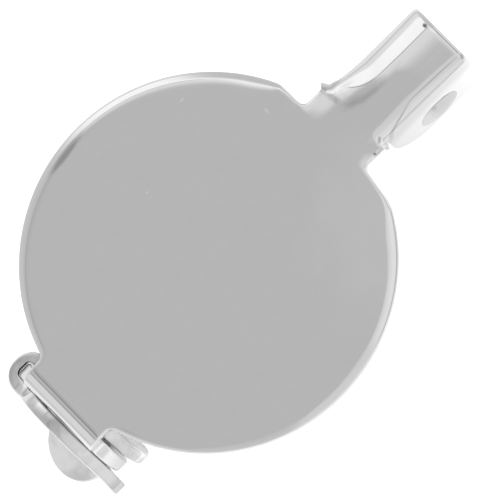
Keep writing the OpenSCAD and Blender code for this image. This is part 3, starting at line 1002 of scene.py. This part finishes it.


# Marks on the sheet in millimetres: colour's name, strength, middle, turn about Z in degrees and half sizes.
# Most are painted shade and painted highlights; the last three are pits
SHEET_MARKS = (
    # Painted shade: a dark smear across the neck
    ("tarnish", 0.8, (9.0, 0.32, 0), -9, (1.3, 0.4, 1)),
    # Painted shade, near black: a spot near the channel's end, and a spot and a thin line at the neck's -Y
    # edge before the ear
    ("soot", 0.9, (12.52, 0.56, 0), 0, (0.12, 0.16, 1)),
    ("soot", 0.8, (7.6, -1.68, 0), 0, (0.09, 0.06, 1)),
    ("soot", 0.5, (7.55, -1.74, 0), 4, (0.7, 0.035, 1)),
    # Painted shade: a dark band along the pad's rim on the +Y side, a dark patch at the +Y ear's front
    # corner, and two thin dark lines along the channel's -Y side
    ("tarnish", 0.9, (-1.0, 7.05, 0), 8, (1.35, 0.2, 1)),
    ("tarnish", 0.75, (8.35, 1.66, -0.15), 0, (0.8, 0.45, 0.8)),
    ("tarnish", 0.8, (8.9, -1.44, 0), 12.6, (1.6, 0.05, 2)),
    ("tarnish", 0.6, (11.3, -1.19, 0), -1, (1.9, 0.05, 2)),
    # Painted highlights: two broad light patches on the -Y ear's wall, and a faint light patch over the pad's
    # -Y side
    ("bright", 0.85, (10.6, -1.9, -3.15), 0, (9, 2, 2.1)),
    ("bright", 0.85, (10.6, -1.9, -4.7), 0, (9, 2, 2.1)),
    ("bright", 0.14, (6.5, -4.5, 0), 0, (5, 5, 5)),
    ("pit", 0.4, (5.8, 2.57, 0), 80, (0.16, 0.09, 1)),
    ("pit", 0.35, (3.75, 5.28, 0), 10, (0.14, 0.07, 1)),
    ("pit", 0.3, (0.22, 3.64, 0), 0, (0.08, 0.08, 1)),
)
# The same for the rivet's -Y end, a painted highlight on its -X side and painted shade near its upper edge,
# and for the lock's outer arm, a painted highlight
RIVET_MARKS = (
    ("bright", 0.34, (9.85, -1.65, -3.1), 0, (0.75, 1, 1.6)),
    ("tarnish", 0.8, (10.5, -1.65, -2.4), 0, (0.17, 1, 0.36)),
)
LOCK_MARKS = (("bright", 0.9, (-7.08, -2.6, -3.6), 0, (0.45, 1.4, 1.4)),)


class PIN_OT_sheet(Operator):
    """Models the stamped and folded sheet: pad, neck, hinge ears, tab and catch plate"""

    bl_idname = "pinback.sheet"
    bl_label = "Stamped sheet"

    def execute(self, context):
        finish = context.scene.pin_finish
        piece = shell("pad_sheet", sheet_patches(context.scene.pin_sheet))
        plate = silver_plate("sheet_silver", finish.silver, finish, SHEET_MARKS)
        dress(piece, plate, "pad", "pad_plate")
        return {"FINISHED"}


class PIN_OT_rivet(Operator):
    """Models the hinge rivet with its peened ends"""

    bl_idname = "pinback.rivet"
    bl_label = "Hinge rivet"

    def execute(self, context):
        finish = context.scene.pin_finish
        piece = shell("rivet", rivet_patches(context.scene.pin_rivet, context.scene.pin_sheet.splay))
        plate = silver_plate("rivet_silver", finish.end, finish, RIVET_MARKS)
        dress(piece, plate, "pad", "hinge_rivet")
        return {"FINISHED"}


class PIN_OT_stem(Operator):
    """Finishes the pin stem"""

    bl_idname = "pinback.stem"
    bl_label = "Pin stem"

    def execute(self, context):
        finish = context.scene.pin_finish
        dress(frame["nodes"]["pin_stem"], silver_plate("wire_silver", finish.steel, finish))
        return {"FINISHED"}


class PIN_OT_lock(Operator):
    """Models the turning lock: a strip folded round the catch plate, with a thumb tab, and its slotted hub"""

    bl_idname = "pinback.lock"
    bl_label = "Turning lock"

    def execute(self, context):
        finish = context.scene.pin_finish
        plate = silver_plate("lock_silver", finish.silver, finish, LOCK_MARKS, cloud=0.9)
        for name, patches in zip(("lock_strip", "lock_hub"), lock_patches(context.scene.pin_lock)):
            dress(shell(name, patches), plate, "lock", "catch_lock")
        return {"FINISHED"}


# Side of the picture in pixels, the sensor's width in millimetres, and the nearest and farthest that is seen
IMAGE_SIDE = 500
SENSOR = 36.0
CLIP = (0.01, 10)


def view_axes(stage):
    """The direction to the camera and the picture's right and up, from the two leans and the roll of 45
    degrees."""
    towards = Vector((
        math.sin(stage.lean_x),
        -math.sin(stage.lean) * math.cos(stage.lean_x),
        math.cos(stage.lean) * math.cos(stage.lean_x),
    )).normalized()
    along = (Vector((1, 0, 0)) - towards.x * towards).normalized()
    across = towards.cross(along)
    return towards, (along - across).normalized(), (along + across).normalized()


def add_camera(stage):
    """Camera at the photograph's angle, aimed so that the pad's centre falls on its pixel."""
    towards, right, up = view_axes(stage)
    centre = IMAGE_SIDE / 2
    aim = (centre - stage.pad_right) * stage.pixel * right - (centre - stage.pad_down) * stage.pixel * up
    data = bpy.data.cameras.new("view")
    data.sensor_width = SENSOR
    data.lens = SENSOR * stage.distance / (IMAGE_SIDE * stage.pixel)
    data.clip_start, data.clip_end = CLIP
    camera = linked("view", data)
    place = towards * stage.distance
    back = (place - aim).normalized()
    right = (right - right.dot(back) * back).normalized()
    turn = Matrix((right, back.cross(right), back)).transposed()
    camera.matrix_world = Matrix.Translation(place) @ turn.to_4x4()
    bpy.context.scene.camera = camera


# Points along the floor's side, and the parts of its half side that are spread by the cube and evenly
FLOOR_POINTS, FLOOR_CUBED, FLOOR_EVEN = 161, 2.0, 0.03
# X and Z of the thumb tab's edge and of the ears' feet, and the middle, half length and sharpness of the ramp
TAB_REST, EAR_REST = (-9.9 * MM, -5.782 * MM), (11.7 * MM, -4.502 * MM)
RAMP_MIDDLE, RAMP_HALF, RAMP_POWER = 2 * MM, 17 * MM, 12
# The floor's shading: where it dims away from the object and to what share, where and how much it dims
# towards +Y, and the soft shade past the hinge, its middle and half sizes in millimetres and its strength
DIM_START, DIM_END, DIM_SHARE = 17 * MM, 32 * MM, 0.7
SIDE_START, SIDE_END, SIDE_SHADE = -2 * MM, 8 * MM, 0.2
SHADE_MIDDLE, SHADE_HALF, SHADE_STRENGTH = (11.5, -10, -5), (6, 8, 20), 0.4
FLOOR_ROUGHNESS = 0.9
BLACK, WHITE = (0, 0, 0, 1), (1, 1, 1, 1)


def floor_mesh():
    """Floor sheet that touches the thumb tab's edge and the feet of the ears: a straight slope through both,
    which levels out past them as s / (1 + s^12)^(1/12), where s is the distance from its middle over the
    ramp's half."""
    side = np.linspace(-1, 1, FLOOR_POINTS)
    spread = np.sign(side) * np.abs(side) ** 3 * FLOOR_CUBED + side * FLOOR_EVEN
    x, y = np.meshgrid(spread, spread, indexing="ij")
    slope = (EAR_REST[1] - TAB_REST[1]) / (EAR_REST[0] - TAB_REST[0])
    level = TAB_REST[1] + slope * (RAMP_MIDDLE - TAB_REST[0])
    share = (x - RAMP_MIDDLE) / RAMP_HALF
    z = level + slope * RAMP_HALF * share / (1 + share**RAMP_POWER) ** (1 / RAMP_POWER)
    points = np.stack([x, y, z], axis=-1)
    mesh = bpy.data.meshes.new("floor")
    mesh.from_pydata(points.reshape(-1, 3).tolist(), [], quads(*x.shape, False).tolist())
    mesh.shade_smooth()
    return mesh


def add_floor(stage):
    """Pale card under the object, shaded softly towards its sides."""
    floor = linked("floor", floor_mesh())
    material, tree, shader, place = new_material("floor_card")
    away = wire(tree, "VectorMath", {0: place}, operation="LENGTH").outputs["Value"]
    pale = stage.floor_colour
    base = blend(tree, ease(tree, away, DIM_START, DIM_END), dimmed(pale), dimmed(pale, DIM_SHARE))
    across = wire(tree, "SeparateXYZ", {"Vector": place}).outputs["Y"]
    base = tinted(tree, base, ease(tree, across, SIDE_START, SIDE_END), SIDE_SHADE, BLACK)
    shade = ball(tree, place, SHADE_MIDDLE, SHADE_HALF, ragged=0.0)
    base = tinted(tree, base, shade, SHADE_STRENGTH, BLACK)
    tree.links.new(base, shader.inputs["Base Color"])
    shader.inputs["Roughness"].default_value = FLOOR_ROUGHNESS
    shader.inputs["Emission Color"].default_value = WHITE
    seen = tree.nodes.new("ShaderNodeLightPath").outputs["Is Camera Ray"]
    glow = maths(tree, "MULTIPLY_ADD", seen, stage.lift, stage.glow)
    tree.links.new(glow, shader.inputs["Emission Strength"])
    floor.data.materials.append(material)


# Brightness of the light tent by the angle from straight overhead, in degrees, towards ten sides given by
# their angle from +Y towards +X: a dim cloth overhead, thin dark seams round it, a bright panel on one side
# and pale walls
CLOTH = 0.665
TENT = {
    12: (
        (13.5, CLOTH), (17, 0.76), (24, 0.93), (35.6, 1.0), (36.4, 0.5), (37.6, 0.5), (38.4, 1.3), (69, 1.35),
        (75, 1.02),
    ),
    45: ((12.5, CLOTH), (17, 0.93), (24, 1.0), (32, 1.2), (42, 1.2), (50, 0.72), (75, 0.74), (85, 0.8)),
    90: ((11, CLOTH), (16, 0.85), (40, 0.98), (46, 0.98), (49, 0.45), (55, 0.45), (60, 1.0)),
    135: ((13, CLOTH), (20, 0.85), (40, 1.0), (58, 1.0), (62, 0.62), (88, 0.62)),
    180: ((6, CLOTH), (14, 0.8), (20, 0.85), (50, 0.88), (60, 0.92), (80, 1.0)),
    -135: ((10, CLOTH), (30, 0.73), (60, 0.78), (80, 0.85)),
    -100: ((24, CLOTH), (48, 0.68), (54, 0.92)),
    -72: ((24, CLOTH), (27.5, 0.2), (29.5, 0.2), (32, 0.66), (46, 0.66), (49, 0.4), (51, 0.4), (54, 0.95)),
    -45: ((16, CLOTH), (19, 0.52), (24, 0.52), (28, 0.73), (70, 0.8)),
    -20: ((14, CLOTH), (17, 0.58), (22, 0.58), (26, 0.7), (80, 0.8)),
}
# How sharply the tent's sides are told apart, the least cosine that counts, and the lamp's width
TENT_POWER, LEAST_COSINE = 40.0, 0.01
LAMP_WIDTH = math.radians(120)


def add_light(stage):
    """Light tent: each side's brightness by the angle from overhead, mixed by the fortieth power of the
    cosine of the angle between that side and the direction's level part; and a broad lamp for the floor."""
    world = bpy.data.worlds.new("tent")
    bpy.context.scene.world = world
    world.use_nodes = True
    tree = world.node_tree
    direction = tree.nodes.new("ShaderNodeTexCoord").outputs["Generated"]
    height = wire(tree, "SeparateXYZ", {"Vector": direction}).outputs["Z"]
    place = maths(tree, "DIVIDE", maths(tree, "ARCCOSINE", height), QUARTER)
    level = wire(tree, "VectorMath", {0: direction, 1: (1, 1, 0)}, operation="MULTIPLY").outputs["Vector"]
    level = wire(tree, "VectorMath", {0: level}, operation="NORMALIZE").outputs["Vector"]
    light = weights = 0.0
    for degrees, stops in TENT.items():
        side = math.radians(degrees)
        aim = (math.sin(side), math.cos(side), 0)
        part = wire(tree, "VectorMath", {0: level, 1: aim}, operation="DOT_PRODUCT").outputs["Value"]
        part = maths(tree, "POWER", maths(tree, "MAXIMUM", part, LEAST_COSINE), TENT_POWER)
        ramp = tree.nodes.new("ShaderNodeValToRGB")
        elements = ramp.color_ramp.elements
        elements.remove(elements[-1])
        for index, (tilt, shade) in enumerate(stops):
            stop = elements[0] if index == 0 else elements.new(tilt / 90)
            stop.position = tilt / 90
            stop.color = (shade, shade, shade, 1)
        tree.links.new(place, ramp.inputs["Fac"])
        light = maths(tree, "MULTIPLY_ADD", part, ramp.outputs["Color"], light)
        weights = maths(tree, "ADD", part, weights)
    tree.links.new(maths(tree, "DIVIDE", light, weights), tree.nodes["Background"].inputs["Color"])
    lamp = linked("floor_lamp", bpy.data.lights.new("floor_lamp", "SUN"))
    lamp.data.energy = stage.lamp
    lamp.data.angle = LAMP_WIDTH
    lamp.visible_glossy = False


class PIN_OT_stage(Operator):
    """Sets up the camera, the pale floor and the soft light"""

    bl_idname = "pinback.stage"
    bl_label = "Stage"

    def execute(self, context):
        stage = context.scene.pin_stage
        add_camera(stage)
        add_floor(stage)
        add_light(stage)
        context.scene.view_settings.view_transform = "Standard"
        return {"FINISHED"}


OPERATORS = (PIN_OT_stage, PIN_OT_sheet, PIN_OT_rivet, PIN_OT_stem, PIN_OT_lock)


class PIN_PT_panel(Panel):
    """Lists the pieces of the pin back"""

    bl_label = "Pin back"
    bl_space_type = "VIEW_3D"
    bl_region_type = "UI"
    bl_category = "Pin back"

    def draw(self, context):
        for operator in OPERATORS:
            self.layout.operator(operator.bl_idname)


GROUPS = {
    "pin_sheet": SheetProps,
    "pin_lock": LockProps,
    "pin_rivet": RivetProps,
    "pin_finish": FinishProps,
    "pin_stage": StageProps,
}


def register():
    """Registers the property groups, the operators and the panel."""
    for name, props in GROUPS.items():
        bpy.utils.register_class(props)
        setattr(bpy.types.Scene, name, PointerProperty(type=props))
    for kind in (*OPERATORS, PIN_PT_panel):
        bpy.utils.register_class(kind)


def unregister():
    """Takes away what register added."""
    for kind in (PIN_PT_panel, *reversed(OPERATORS)):
        bpy.utils.unregister_class(kind)
    for name, props in GROUPS.items():
        delattr(bpy.types.Scene, name)
        bpy.utils.unregister_class(props)


def main():
    """Builds the pieces."""
    register()
    for operator in OPERATORS:
        family, name = operator.bl_idname.split(".")
        getattr(getattr(bpy.ops, family), name)()


if __name__ == "__main__":
    main()
